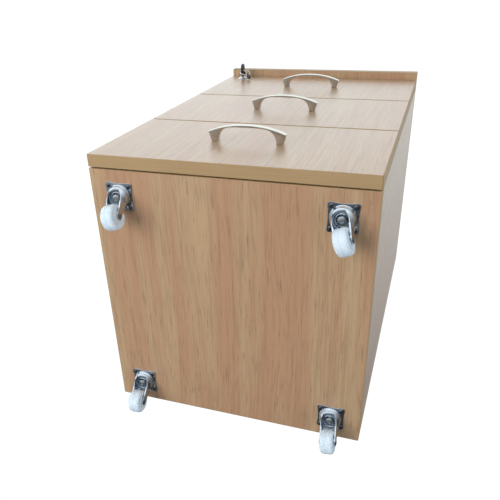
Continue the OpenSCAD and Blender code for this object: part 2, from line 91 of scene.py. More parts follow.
def add_floor():
    """An evenly pale floor with a soft contact shadow, seen from above only: the main view is from below."""
    mesh = bpy.data.meshes.new("floor")
    half = 30.0
    corners = [(-half, -half, 0), (half, -half, 0), (half, half, 0), (-half, half, 0)]
    mesh.from_pydata(corners, [], [(0, 1, 2, 3)])
    floor = bpy.data.objects.new("floor", mesh)
    bpy.context.scene.collection.objects.link(floor)
    material = bpy.data.materials.new("floor")
    material.use_nodes = True
    nodes, links = material.node_tree.nodes, material.node_tree.links
    nodes.remove(nodes["Principled BSDF"])
    contact = nodes.new("ShaderNodeAmbientOcclusion")
    contact.inputs["Color"].default_value = (0.80, 0.80, 0.79, 1)
    contact.inputs["Distance"].default_value = 0.35
    glow = nodes.new("ShaderNodeEmission")
    clear = nodes.new("ShaderNodeBsdfTransparent")
    mix = nodes.new("ShaderNodeMixShader")
    side = nodes.new("ShaderNodeNewGeometry")
    links.new(contact.outputs["Color"], glow.inputs["Color"])
    links.new(side.outputs["Backfacing"], mix.inputs["Fac"])
    links.new(glow.outputs["Emission"], mix.inputs[1])
    links.new(clear.outputs["BSDF"], mix.inputs[2])
    links.new(mix.outputs["Shader"], nodes["Material Output"].inputs["Surface"])
    mesh.materials.append(material)
    floor.visible_shadow = False
    floor.visible_diffuse = False
    floor.visible_glossy = False


# The direction that reflects brightest, and the strength of the room's soft and mirrored light
BRIGHT_SIDE = (-0.45, -0.75, 0.45)
ROOM_LIGHT = 0.42
REFLECTED_DARK = 0.04
REFLECTED_BRIGHT = 1.45


def add_world():
    """White to the camera, an even room for soft light, and one bright side for reflections."""
    world = bpy.data.worlds.new("studio")
    bpy.context.scene.world = world
    world.use_nodes = True
    nodes, links = world.node_tree.nodes, world.node_tree.links
    place = nodes.new("ShaderNodeTexCoord")
    towards = nodes.new("ShaderNodeVectorMath")
    towards.operation = "DOT_PRODUCT"
    towards.inputs[1].default_value = BRIGHT_SIDE
    height = nodes.new("ShaderNodeMapRange")
    height.interpolation_type = "SMOOTHSTEP"
    height.inputs["From Min"].default_value = -0.65
    height.inputs["From Max"].default_value = 0.9
    height.inputs["To Min"].default_value = REFLECTED_DARK
    height.inputs["To Max"].default_value = REFLECTED_BRIGHT
    path = nodes.new("ShaderNodeLightPath")
    room = nodes["Background"]
    room.inputs["Color"].default_value = (0.91, 0.98, 1.0, 1)
    strength = nodes.new("ShaderNodeMix")
    strength.inputs["A"].default_value = ROOM_LIGHT
    white = nodes.new("ShaderNodeBackground")
    white.inputs["Color"].default_value = (1, 1, 1, 1)
    white.inputs["Strength"].default_value = 1.05
    mix = nodes.new("ShaderNodeMixShader")
    links.new(place.outputs["Generated"], towards.inputs[0])
    links.new(towards.outputs["Value"], height.inputs["Value"])
    links.new(path.outputs["Is Glossy Ray"], strength.inputs["Factor"])
    links.new(height.outputs["Result"], strength.inputs["B"])
    links.new(strength.outputs["Result"], room.inputs["Strength"])
    links.new(path.outputs["Is Camera Ray"], mix.inputs["Fac"])
    links.new(room.outputs[0], mix.inputs[1])
    links.new(white.outputs[0], mix.inputs[2])
    links.new(mix.outputs[0], nodes["World Output"].inputs["Surface"])


add_camera()
add_floor()
add_world()
add_area_light("key", (-1.2, -0.9, -2.0), (0, 0, 0.1), 1.9, 57)
add_area_light("front", (0.9, -2.2, -0.2), (0, 0, 0.5), 1.6, 8)
add_area_light("top", (-0.8, -0.4, 2.6), (0, 0, 0.6), 1.8, 32)
add_area_light("overhead", (0.2, 0.5, 2.8), (0, 0.1, 0.6), 1.8, 45)
add_area_light("back", (-1.6, 2.4, 1.5), (0, 0, 0.35), 1.8, 45)
add_area_light("side", (2.2, -0.2, -0.2), (0, 0, 0.4), 1.6, 16)
bpy.context.scene.view_settings.view_transform = "Standard"


# ---------------------------------------------------------------- materials

class Shader:
    """A material's node tree, with short calls for the nodes that the materials here share."""

    def __init__(self, name):
        self.material = bpy.data.materials.new(name)
        self.material.use_nodes = True
        self.nodes = self.material.node_tree.nodes
        self.links = self.material.node_tree.links
        self.surface = self.nodes["Principled BSDF"]
        self.place = self.nodes.new("ShaderNodeTexCoord").outputs["Object"]

    def set(self, **values):
        for name, value in values.items():
            self.surface.inputs[name.replace("_", " ").title().replace("Ior", "IOR")].default_value = value

    def noise(self, scale, detail=2.0, roughness=0.5, distortion=0.0, place=None):
        """Noise with its own scale along X, Y and Z, in features per metre."""
        mapping = self.nodes.new("ShaderNodeMapping")
        mapping.inputs["Scale"].default_value = scale
        noise = self.nodes.new("ShaderNodeTexNoise")
        noise.inputs["Scale"].default_value = 1
        noise.inputs["Detail"].default_value = detail
        noise.inputs["Roughness"].default_value = roughness
        noise.inputs["Distortion"].default_value = distortion
        self.links.new(place or self.place, mapping.inputs["Vector"])
        self.links.new(mapping.outputs["Vector"], noise.inputs["Vector"])
        return noise.outputs["Fac"]

    def ramp(self, value, *stops):
        """Colours by value: stops are (position, (r, g, b))."""
        node = self.nodes.new("ShaderNodeValToRGB")
        elements = node.color_ramp.elements
        while len(elements) < len(stops):
            elements.new(0.5)
        for element, (position, colour) in zip(elements, stops):
            element.position = position
            element.color = (*colour, 1)
        self.links.new(value, node.inputs["Fac"])
        return node.outputs["Color"]

    def between(self, value, low, high, to_low=0.0, to_high=1.0):
        node = self.nodes.new("ShaderNodeMapRange")
        node.interpolation_type = "SMOOTHSTEP"
        node.inputs["From Min"].default_value = low
        node.inputs["From Max"].default_value = high
        node.inputs["To Min"].default_value = to_low
        node.inputs["To Max"].default_value = to_high
        self.links.new(value, node.inputs["Value"])
        return node.outputs["Result"]

    def mix(self, amount, first, second, how="MIX"):
        """first and second are colour sockets or (r, g, b); amount is a socket or a number."""
        node = self.nodes.new("ShaderNodeMix")
        node.data_type = "RGBA"
        node.blend_type = how
        self.feed(amount, node.inputs["Factor"])
        self.feed(first, node.inputs[6])
        self.feed(second, node.inputs[7])
        return node.outputs[2]

    def feed(self, value, socket):
        if isinstance(value, bpy.types.NodeSocket):
            self.links.new(value, socket)
        elif isinstance(value, tuple):
            socket.default_value = (*value, 1)
        else:
            socket.default_value = value

    def math(self, how, first, second):
        node = self.nodes.new("ShaderNodeMath")
        node.operation = how
        self.feed(first, node.inputs[0])
        self.feed(second, node.inputs[1])
        return node.outputs[0]

    def warp(self, scale, amount):
        """Object coordinates pushed about by noise, amount in metres along X, Y and Z."""
        mapping = self.nodes.new("ShaderNodeMapping")
        mapping.inputs["Scale"].default_value = scale
        noise = self.nodes.new("ShaderNodeTexNoise")
        noise.inputs["Scale"].default_value = 1
        noise.inputs["Detail"].default_value = 1.5
        middle = self.nodes.new("ShaderNodeVectorMath")
        middle.operation = "SUBTRACT"
        middle.inputs[1].default_value = (0.5, 0.5, 0.5)
        push = self.nodes.new("ShaderNodeVectorMath")
        push.operation = "MULTIPLY_ADD"
        push.inputs[1].default_value = amount
        self.links.new(self.place, mapping.inputs["Vector"])
        self.links.new(mapping.outputs["Vector"], noise.inputs["Vector"])
        self.links.new(noise.outputs["Color"], middle.inputs[0])
        self.links.new(middle.outputs[0], push.inputs[0])
        self.links.new(self.place, push.inputs[2])
        return push.outputs[0]

    def colour(self, value):
        self.feed(value, self.surface.inputs["Base Color"])

    def roughness(self, value):
        self.feed(value, self.surface.inputs["Roughness"])

    def bump(self, height, distance, strength=1.0):
        node = self.nodes.new("ShaderNodeBump")
        node.inputs["Strength"].default_value = strength
        node.inputs["Distance"].default_value = distance
        self.links.new(height, node.inputs["Height"])
        self.links.new(node.outputs["Normal"], self.surface.inputs["Normal"])


def stretched(grain, across, along):
    """A scale along X, Y and Z that is across, and along on the grain's axis."""
    return tuple(along if axis == grain else across for axis in "XYZ")


def beech_decor(name, grain, pink, straw, streak, fleck):
    """Printed beech melamine: wandering bands of two tones, fine streaks and short dark pores."""
    shader = Shader(name)
    drift = tuple(0.0 if axis == grain else 0.024 for axis in "XYZ")
    bent = shader.warp(stretched(grain, 7.0, 2.4), drift)
    bands = shader.noise(stretched(grain, 26.0, 1.1), 2.0, place=bent)
    tone = shader.mix(shader.between(bands, 0.38, 0.62), pink, straw)
    streaks = shader.noise(stretched(grain, 250.0, 6.0), 4.0, 0.7, place=bent)
    tone = shader.mix(shader.between(streaks, 0.42, 0.68, 0.0, 0.70), tone, streak)
    pale = shader.noise(stretched(grain, 120.0, 2.5), 3.0, 0.6, place=bent)
    tone = shader.mix(shader.between(pale, 0.55, 0.75, 0.0, 0.35), tone, straw)
    pores = shader.noise(stretched(grain, 520.0, 24.0), 2.0, 0.6, place=bent)
    pore = shader.between(pores, 0.56, 0.70)
    tone = shader.mix(shader.math("MULTIPLY", pore, 0.60), tone, fleck)
    shader.colour(tone)
    shader.roughness(shader.between(streaks, 0.3, 0.7, 0.40, 0.44))
    shader.set(coat_weight=1.0, coat_roughness=0.30)
    shader.bump(pore, -0.00001)
    return shader.material


def edge_band(name, grain, main, dark):
    """ABS edging: nearly plain, with faint streaks along its length and a slight satin grain."""
    shader = Shader(name)
    streaks = shader.noise(stretched(grain, 500.0, 9.0), 3.0, 0.6)
    cloud = shader.noise((14.0, 14.0, 14.0), 2.0)
    tone = shader.mix(shader.between(streaks, 0.4, 0.7, 0.0, 0.5), main, dark)
    tone = shader.mix(shader.between(cloud, 0.35, 0.65, 0.0, 0.25), tone, dark)
    shader.colour(tone)
    shader.roughness(shader.between(streaks, 0.3, 0.7, 0.42, 0.52))
    shader.bump(shader.noise((2600.0, 2600.0, 2600.0), 2.0), 0.00002)
    return shader.material


def chipboard():
    """The raw core of a board, inside its holes and grooves."""
    shader = Shader("chipboard")
    chips = shader.noise((420.0, 420.0, 420.0), 3.0, 0.7)
    shader.colour(shader.ramp(chips, (0.35, (0.30, 0.19, 0.10)), (0.65, (0.62, 0.45, 0.28))))
    shader.set(roughness=0.85)
    shader.bump(chips, 0.0004)
    return shader.material


def pale_board():
    """Off-white coated board of the drawer boxes and the back, with a faint leathery grain."""
    shader = Shader("pale_board")
    cloud = shader.noise((9.0, 9.0, 9.0), 3.0)
    shader.colour(shader.ramp(cloud, (0.3, (0.74, 0.72, 0.68)), (0.7, (0.80, 0.785, 0.75))))
    grain = shader.noise((900.0, 900.0, 900.0), 3.0, 0.6)
    shader.roughness(shader.between(grain, 0.3, 0.7, 0.45, 0.6))
    shader.bump(grain, 0.00006)
    return shader.material


def plated(name, base, shade, low, high, brushed=None):
    """Plated metal: clouded tone and roughness, with brushing along one axis where that is given."""
    shader = Shader(name)
    cloud = shader.noise((90.0, 90.0, 90.0), 3.0, 0.6)
    shader.colour(shader.ramp(cloud, (0.3, shade), (0.65, base)))
    shader.set(metallic=1.0)
    if brushed:
        lines = shader.noise(stretched(brushed, 2400.0, 60.0), 2.0, 0.6)
        shader.bump(lines, 0.000004)
        shader.roughness(shader.between(lines, 0.3, 0.7, low, high))
    else:
        shader.roughness(shader.between(cloud, 0.3, 0.7, low, high))
        shader.bump(shader.noise((500.0, 500.0, 500.0), 2.0), 0.000004)
    return shader.material


def white_nylon():
    """Moulded nylon of the wheels: bluish white, slightly translucent, scuffed on the tread."""
    shader = Shader("white_nylon")
    cloud = shader.noise((160.0, 160.0, 160.0), 3.0, 0.6)
    scuffs = shader.noise((700.0, 700.0, 700.0), 3.0, 0.7)
    tone = shader.ramp(cloud, (0.3, (0.60, 0.71, 0.82)), (0.7, (0.72, 0.81, 0.90)))
    shader.colour(shader.mix(shader.between(scuffs, 0.62, 0.78, 0.0, 0.30), tone, (0.55, 0.58, 0.62)))
    shader.roughness(shader.between(scuffs, 0.3, 0.7, 0.22, 0.42))
    shader.set(subsurface_weight=0.15, subsurface_scale=0.004)
    shader.surface.inputs["Subsurface Radius"].default_value = (0.8, 0.9, 1.0)
    shader.bump(scuffs, 0.00006)
    return shader.material


def black_plastic():
    shader = Shader("black_plastic")
    cloud = shader.noise((260.0, 260.0, 260.0), 3.0)
    shader.colour(shader.ramp(cloud, (0.3, (0.010, 0.011, 0.016)), (0.7, (0.026, 0.027, 0.036))))
    grain = shader.noise((2200.0, 2200.0, 2200.0), 2.0)
    shader.roughness(shader.between(grain, 0.3, 0.7, 0.34, 0.5))
    shader.bump(grain, 0.00003)
    return shader.material


PINK, STRAW = (0.452, 0.254, 0.146), (0.474, 0.316, 0.182)
STREAK, FLECK = (0.345, 0.202, 0.118), (0.235, 0.138, 0.082)
decor = {axis: beech_decor("beech_" + axis.lower(), axis, PINK, STRAW, STREAK, FLECK) for axis in "XYZ"}
BAND, BAND_DARK = (0.400, 0.268, 0.138), (0.330, 0.212, 0.108)
band = {axis: edge_band("edge_" + axis.lower(), axis, BAND, BAND_DARK) for axis in "XYZ"}
core = chipboard()
box_board = pale_board()
zinc = plated("zinc", (0.72, 0.79, 0.87), (0.55, 0.61, 0.70), 0.16, 0.30)
grey_zinc = plated("grey_zinc", (0.62, 0.64, 0.66), (0.46, 0.48, 0.50), 0.42, 0.55)
dark_zinc = plated("dark_zinc", (0.30, 0.31, 0.33), (0.20, 0.21, 0.23), 0.24, 0.40)
slide_steel = plated("slide_steel", (0.66, 0.68, 0.70), (0.55, 0.57, 0.60), 0.26, 0.40, brushed="Y")
nickel = plated("nickel", (0.72, 0.69, 0.63), (0.64, 0.61, 0.55), 0.26, 0.36)
chrome = plated("chrome", (0.80, 0.82, 0.85), (0.70, 0.72, 0.76), 0.05, 0.12)
nylon = white_nylon()
plastic = black_plastic()


# ---------------------------------------------------------------- mesh helpers

def finish_piece(bm, name, materials, body, nodes=(), sharp=35, place=None):
    """Turns bm into a piece that rides on body, takes the given materials and stands for the nodes."""
    bmesh.ops.remove_doubles(bm, verts=bm.verts, dist=1e-7)
    if place is not None:
        bmesh.ops.transform(bm, matrix=place, verts=bm.verts)
    bmesh.ops.recalc_face_normals(bm, faces=bm.faces)
    mesh = bpy.data.meshes.new(name)
    bm.to_mesh(mesh)
    bm.free()
    mesh.shade_smooth()
    mesh.set_sharp_from_angle(angle=radians(sharp))
    for material in materials:
        mesh.materials.append(material)
    piece = bpy.data.objects.new(name, mesh)
    bpy.context.scene.collection.objects.link(piece)
    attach(piece, body)
    if nodes:
        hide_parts(*nodes)
    return piece


def lathe(profile, segments=48, closed=False):
    """Turns a profile of (radius, height) about Z. A closed profile makes a ring."""
    bm = bmesh.new()
    rings = []
    for radius, height in profile:
        if radius < 1e-9:
            rings.append([bm.verts.new((0, 0, height))] * segments)
        else:
            angles = [2 * pi * i / segments for i in range(segments)]
            rings.append([bm.verts.new((radius * cos(a), radius * sin(a), height)) for a in angles])
    pairs = list(zip(rings, rings[1:]))
    if closed:
        pairs.append((rings[-1], rings[0]))
    for lower, upper in pairs:
        for i in range(segments):
            j = (i + 1) % segments
            corners = [lower[i], lower[j], upper[j], upper[i]]
            face = [v for k, v in enumerate(corners) if v not in corners[:k]]
            if len(face) > 2:
                bm.faces.new(face)
    return bm


def prism(outline, depth, round_off=0.0, steps=3):
    """Extrudes an outline of (x, y) from z = 0 to depth, with its rims rounded off."""
    bm = bmesh.new()
    face = bm.faces.new([bm.verts.new((x, y, 0)) for x, y in outline])
    extruded = bmesh.ops.extrude_face_region(bm, geom=[face])["geom"]
    far_end = [item for item in extruded if isinstance(item, bmesh.types.BMVert)]
    bmesh.ops.translate(bm, vec=(0, 0, depth), verts=far_end)
    bmesh.ops.recalc_face_normals(bm, faces=bm.faces)
    if round_off:
        rims = [e for e in bm.edges if abs(e.verts[0].co.z - e.verts[1].co.z) < 1e-9]
        bmesh.ops.bevel(bm, geom=rims, offset=round_off, segments=steps, profile=0.5, affect="EDGES")
    return bm


def arc(centre, radius, start, end, steps):
    """Points on an arc, angles in degrees."""
    angles = [radians(start + (end - start) * i / steps) for i in range(steps + 1)]
    return [(centre[0] + radius * cos(a), centre[1] + radius * sin(a)) for a in angles]


def join(*parts):
    """One bmesh with all the parts in it."""
    bm = bmesh.new()
    for part in parts:
        mesh = bpy.data.meshes.new("joined")
        part.to_mesh(mesh)
        part.free()
        bm.from_mesh(mesh)
        bpy.data.meshes.remove(mesh)
    return bm


def turn(axis, degrees):
    return Matrix.Rotation(radians(degrees), 4, axis)


def move(x, y, z):
    return Matrix.Translation((x, y, z))


def moved(bm, matrix):
    bmesh.ops.transform(bm, matrix=matrix, verts=bm.verts)
    return bm


def tube(points, radius, sides=12):
    """A round tube along points, closed at both ends."""
    bm = bmesh.new()
    rings = []
    for i, point in enumerate(points):
        ahead = (points[min(i + 1, len(points) - 1)] - points[max(i - 1, 0)]).normalized()
        across = ahead.cross(Vector((0, 0, 1)))
        across = across.normalized() if across.length > 1e-6 else Vector((1, 0, 0))
        above = across.cross(ahead)
        angles = [2 * pi * k / sides for k in range(sides)]
        rings.append([bm.verts.new(point + radius * (cos(a) * across + sin(a) * above)) for a in angles])
    for first, second in zip(rings, rings[1:]):
        for k in range(sides):
            j = (k + 1) % sides
            bm.faces.new((first[k], first[j], second[j], second[k]))
    bm.faces.new(rings[0])
    bm.faces.new(rings[-1])
    return bm


def carve(bm, *cutters):
    """bm with the cutters' solids taken out of it."""
    for cutter in cutters:
        parts = []
        for part in (bm, cutter):
            bmesh.ops.remove_doubles(part, verts=part.verts, dist=1e-7)
            bmesh.ops.recalc_face_normals(part, faces=part.faces)
            mesh = bpy.data.meshes.new("carving")
            part.to_mesh(mesh)
            part.free()
            parts.append(bpy.data.objects.new("carving", mesh))
            bpy.context.scene.collection.objects.link(parts[-1])
        modifier = parts[0].modifiers.new("cut", "BOOLEAN")
        modifier.object = parts[1]
        modifier.solver = "EXACT"
        evaluated = parts[0].evaluated_get(bpy.context.evaluated_depsgraph_get())
        result = bpy.data.meshes.new_from_object(evaluated)
        bm = bmesh.new()
        bm.from_mesh(result)
        for part in parts:
            bpy.data.meshes.remove(part.data)
        bpy.data.meshes.remove(result)
    return bm


def repeat(bm, places):
    """One bmesh with a copy of bm at each place."""
    mesh = bpy.data.meshes.new("repeated")
    bm.to_mesh(mesh)
    bm.free()
    copies = bmesh.new()
    for place in places:
        first = len(copies.verts)
        copies.from_mesh(mesh)
        copies.verts.ensure_lookup_table()
        bmesh.ops.transform(copies, matrix=place, verts=copies.verts[first:])
    bpy.data.meshes.remove(mesh)
    return copies


# ---------------------------------------------------------------- boards

def banded_board(node, body, thin, grain, edging=1.0 * MM, soft=0.5 * MM):
    """A CAD board with softened outer edges, melamine faces and edging round its rim."""
    low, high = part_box(node)
    bm = bmesh.new()
    bm.from_mesh(frame["nodes"][node].data)
    bmesh.ops.remove_doubles(bm, verts=bm.verts, dist=1e-6)
    bmesh.ops.dissolve_limit(bm, angle_limit=radians(0.5), verts=bm.verts, edges=bm.edges)
    sides = [i for i in range(3) if i != thin]
    for axis in sides:
        for level in (low[axis] + edging, high[axis] - edging):
            point, normal = Vector((0, 0, 0)), Vector((0, 0, 0))
            point[axis], normal[axis] = level, 1
            geometry = list(bm.verts) + list(bm.edges) + list(bm.faces)
            bmesh.ops.bisect_plane(bm, geom=geometry, plane_co=point, plane_no=normal)

    def limits(point):
        return {i for i in range(3) if min(abs(point[i] - low[i]), abs(point[i] - high[i])) < 1e-6}

    outer = [e for e in bm.edges if len(limits(e.verts[0].co) & limits(e.verts[1].co)) > 1]
    bmesh.ops.bevel(bm, geom=outer, offset=soft, segments=2, profile=0.5, affect="EDGES")
    for face in bm.faces:
        centre = face.calc_center_median()
        facing = max(range(3), key=lambda i: abs(face.normal[i]))
        depth = [min(centre[i] - low[i], high[i] - centre[i]) for i in range(3)]
        if min(depth) > soft:
            face.material_index = 2
        elif facing != thin or min(depth[i] for i in sides) < edging:
            face.material_index = 1
        else:
            face.material_index = 0
    rim = "XYZ"[max(sides, key=lambda i: high[i] - low[i])]
    return finish_piece(bm, node + "_board", (decor[grain], band[rim], core), body, (node,), 5)


def soft_board(node, body, soft=0.4 * MM):
    """A CAD board of a drawer box with softened edges."""
    bm = bmesh.new()
    bm.from_mesh(frame["nodes"][node].data)
    bmesh.ops.remove_doubles(bm, verts=bm.verts, dist=1e-6)
    bmesh.ops.dissolve_limit(bm, angle_limit=radians(0.5), verts=bm.verts, edges=bm.edges)
    corners = [e for e in bm.edges if e.is_manifold and e.calc_face_angle() > radians(60)]
    bmesh.ops.bevel(bm, geom=corners, offset=soft, segments=2, profile=0.5, affect="EDGES")
    return finish_piece(bm, node + "_board", (box_board,), body, (node,), 5)


def make_boards():
    banded_board("top_panel", "carcass", 2, "Y")
    banded_board("bottom_panel", "carcass", 2, "Y")
    banded_board("left_side", "carcass", 0, "Z")
    banded_board("right_side", "carcass", 0, "Z")
    soft_board("back_panel", "carcass")
    for level in LEVELS:
        drawer = "drawer_" + level
        banded_board("front_" + level, drawer, 1, "Z", edging=1.2 * MM, soft=0.7 * MM)
        for side in ("left", "right", "back"):
            soft_board(f"box_{side}_{level}", drawer)
        soft_board(f"box_base_{level}", drawer, soft=0.2 * MM)


# ---------------------------------------------------------------- castors

AXLE_BACK = 18.5 * MM
LEG_X = 11.0 * MM
LEG_T = 1.0 * MM
WHEEL_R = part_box("wheel_front_left")[1].z / 2
PLATE_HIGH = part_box("castor_plates")[1]
PLATE_T = 1.8 * MM
PLATE_HALF = PLATE_HIGH.x - joints["swivel_front_right"]["pos_m"][0]
CAD_SCREW_HEAD_R = 3.5 * MM
SCREW_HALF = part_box("castor_screws")[1].x - joints["swivel_front_right"]["pos_m"][0] - CAD_SCREW_HEAD_R


def castor_place(corner):
    """The castor's own frame: pivot at the origin, wheel towards +Y, floor at z = 0."""
    x, y, _ = joints["swivel_" + corner]["pos_m"]
    axis = Vector(joints["roll_" + corner]["axis"])
    return move(x, y, 0) @ Matrix.Rotation(atan2(axis.y, axis.x), 4, "Z")


def plate_outline():
    """A square with four round ears and slightly hollow sides."""
    ear, bite, steps = 4.0 * MM, 1.3 * MM, 12
    reach = PLATE_HALF - ear
    side = []
    for i in range(1, steps):
        x = reach * (1 - 2 * i / steps)
        side.append((x, PLATE_HALF - bite * cos(pi / 2 * x / reach)))
    points = []
    for quarter in range(4):
        around = Matrix.Rotation(quarter * pi / 2, 2)
        points += [tuple(around @ Vector(point)) for point in arc((reach, reach), ear, 0, 90, 8) + side]
    return points


def ring(profile, base=0.0, segments=72):
    """A closed lathe ring from a profile in millimetres, raised by base."""
    return lathe([(radius * MM, base + height * MM) for radius, height in profile], segments, closed=True)


def castor_plate():
    """Plate with its pressed race."""
    under = PLATE_HIGH.z - PLATE_T
    plate = moved(prism(plate_outline(), PLATE_T, 0.45 * MM), move(0, 0, under))
    flat = [(3.2, -3.6), (7.6, -3.6), (8.4, -3.1), (10.6, -3.1), (11.4, -3.6), (14.2, -3.9), (15.3, -3.6)]
    flank = [(16.0, -2.8), (16.5, -1.2), (17.0, -0.3), (17.6, 0.1), (3.2, 0.1)]
    race = ring(flat + flank, under)
    return join(plate, race)


def castor_rivet():
    """Rivet that the fork turns on: domed head with a turned ring, and shank."""
    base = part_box("castor_kingpins")[0].z
    dimple = [(0, 0.7), (1.4, 0.7), (1.7, 0.25), (3.3, 0.1), (3.7, 0.5)]
    head = [(4.9, 0.7), (5.8, 1.2), (6.2, 2.0), (6.2, 2.8)]
    shank = [(3.0, 2.9), (3.0, 12.9), (0, 12.9)]
    return lathe([(radius * MM, base + height * MM) for radius, height in dimple + head + shank], 64)


def screw(head_r, head_h, shank_r, length):
    """Pan head screw with a cross recess; its seat is at z = 0 and its point is up."""
    dome = [(0, -head_h)] + [(head_r * sin(a), -head_h * cos(a) ** 0.6) for a in (0.3, 0.6, 0.9, 1.15, 1.35)]
    body = lathe(dome + [(head_r, 0), (shank_r, 0), (shank_r, length - shank_r), (0.1 * MM, length)], 24)
    arm, half_slot = 0.62 * head_r, 0.09 * head_r + 0.25 * MM
    slot = [(-arm, -half_slot), (arm, -half_slot), (arm, half_slot), (-arm, half_slot)]
    for angle in (0, 90):
        body = carve(body, moved(prism(slot, 0.75 * head_h), turn("Z", angle) @ move(0, 0, -1.05 * head_h)))
    return body


def castor_screws():
    one = screw(3.1 * MM, 1.6 * MM, 1.7 * MM, 12 * MM)
    seats = []
    for n, corner in enumerate(CORNERS):
        pivot = Vector(joints["swivel_" + corner]["pos_m"])
        for k, (x, y) in enumerate(((-1, -1), (1, -1), (-1, 1), (1, 1))):
            seat = move(pivot.x + x * SCREW_HALF, pivot.y + y * SCREW_HALF, PLATE_HIGH.z - PLATE_T)
            seats.append(seat @ turn("Z", 37 * n + 61 * k))
    return repeat(one, seats)


def fork_leg(side):
    """One leg: a curved wall at the crown that flattens into a plate with a round end at the axle."""
    rows, columns = 16, 16
    top_z, axle_z, boss, wall_r = 43.6 * MM, WHEEL_R, 5.4 * MM, 15.0 * MM
    bm = bmesh.new()
    grid = []
    for i in range(rows + 1):
        v = i / rows
        flat = min(1.0, v / 0.3)
        flat = flat * flat * (3 - 2 * flat)
        row = []
        for j in range(columns + 1):
            u = j / columns
            wall = radians(-58 + 128 * u)
            end = radians(180 + 180 * u)
            y = (1 - v) * wall_r * sin(wall) + v * (AXLE_BACK + boss * cos(end))
            z = (1 - v) * top_z + v * (axle_z + boss * sin(end))
            waist = 2.2 * MM * sin(pi * v) * (1 - 2 * u)
            x = (1 - flat) * wall_r * cos(wall) + flat * LEG_X
            row.append(bm.verts.new((side * x, y + waist, z)))
        grid.append(row)
    for upper, lower in zip(grid, grid[1:]):
        for j in range(columns):
            corners = [upper[j], upper[j + 1], lower[j + 1], lower[j]]
            bm.faces.new(corners if side > 0 else corners[::-1])
    bmesh.ops.recalc_face_normals(bm, faces=bm.faces)
    outward = sum((face.normal.x for face in bm.faces)) * side > 0
    bmesh.ops.solidify(bm, geom=bm.faces, thickness=-LEG_T if outward else LEG_T)
    return bm


def castor_fork():
    """Pressed steel hood over the race, with a bead, a bulging rim, a lip over the wheel, and two legs."""
    bead = [(3.2, 43.4), (6.9, 43.4), (7.5, 42.7), (8.4, 42.3), (9.2, 42.5), (9.7, 43.3), (10.3, 43.3)]
    rim = [(10.8, 42.4), (11.6, 41.9), (12.8, 41.9), (14.2, 42.4), (15.5, 43.4), (16.2, 44.6), (16.4, 45.9)]
    inside = [(15.4, 45.9), (15.2, 45.0), (14.5, 44.2), (13.4, 43.4), (12.2, 43.1), (11.0, 44.4), (3.2, 44.4)]
    hood = ring(bead + rim + inside)
    back = arc((0, 0), 20 * MM, 48, 132, 16) + arc((0, 0), 14 * MM, 132, 48, 16)
    cover = moved(prism(back, 1.1 * MM, 0.3 * MM), move(0, 0, 42.4 * MM))
    return join(hood, cover, fork_leg(1), fork_leg(-1))


def castor_axle():
    """Tubular rivet with rolled ends, along X at the wheel's centre."""
    side = [(0, 9.4), (1.3, 9.7), (1.5, 12.6), (2.2, 12.9), (3.2, 12.8), (3.7, 12.4), (2.5, 12.2)]
    rivet = lathe([(r * MM, x * MM) for r, x in side] + [(r * MM, -x * MM) for r, x in reversed(side)], 32)
    return moved(rivet, move(0, AXLE_BACK, WHEEL_R) @ turn("Y", 90))


def castor_wheel():
    """Wheel with two rounded treads, a groove between them, dished faces and a raised hub."""
    edge = WHEEL_R / MM
    hub = [(2.56, 9.6), (4.6, 9.9), (5.4, 9.4), (6.2, 8.7)]
    dish = [(edge - 7.5, 8.6), (edge - 5.8, 9.2), (edge - 4.4, 9.5), (edge - 2.8, 9.2)]
    tread = [(edge - 1.4, 8.2), (edge - 0.5, 6.6), (edge - 0.1, 4.8), (edge, 3.0)]
    groove = [(edge - 0.1, 1.6), (edge - 0.35, 0.8), (edge - 0.7, 0.4)]
    side = hub + dish + tread + groove
    wheel = ring(side + [(radius, -x) for radius, x in reversed(side)])
    return moved(wheel, move(0, AXLE_BACK, WHEEL_R) @ turn("Y", 90))


def make_castors():
    finish_piece(castor_screws(), "castor_screw_set", (dark_zinc,), "carcass", ("castor_screws",), 50)
    for corner in CORNERS:
        place = castor_place(corner)
        upright = move(*place.translation)
        swivel, roller = "swivel_" + corner, "roller_" + corner
        plates, kingpins = ("castor_plates",), ("castor_kingpins",)
        fork, axle, wheel = ("fork_" + corner,), ("axle_" + corner,), ("wheel_" + corner,)
        finish_piece(castor_plate(), "plate_" + corner, (zinc,), "carcass", plates, 40, upright)
        rivet = castor_rivet()
        finish_piece(rivet, "rivet_" + corner, (grey_zinc,), "carcass", kingpins, 40, upright)
        finish_piece(castor_fork(), "housing_" + corner, (zinc,), swivel, fork, 50, place)
        finish_piece(castor_axle(), "wheel_pin_" + corner, (dark_zinc,), swivel, axle, 40, place)
        finish_piece(castor_wheel(), "tread_" + corner, (nylon,), roller, wheel, 60, place)


# ---------------------------------------------------------------- handles

HANDLE_HALF = 48 * MM       # from the middle of the handle to a screw
FOOT_HALF = 4.5 * MM
CROWN_DROP = 1.4 * MM       # how much lower the bar stands than the CAD's
SHOULDER = 14 * MM
BAR_T = 3.4 * MM


def handle_outline(half_out, crown, shoulder, thick):
    """One closed outline: flared feet, sharp shoulders, an arched bar and widely rounded inner corners."""
    inner_x = HANDLE_HALF - FOOT_HALF
    outer = [half_out * (1 - i / 24) for i in range(49)]
    inner = [-inner_x * cos(pi * i / 48) for i in range(49)]
    top = [(x, crown - (crown - shoulder) * abs(x / half_out) ** 2.2) for x in outer]
    bottom = [(x, (crown - thick) * (1 - abs(x / inner_x) ** 5) ** 0.5) for x in inner]
    return [(HANDLE_HALF + FOOT_HALF, 0)] + top + [(-HANDLE_HALF - FOOT_HALF, 0)] + bottom


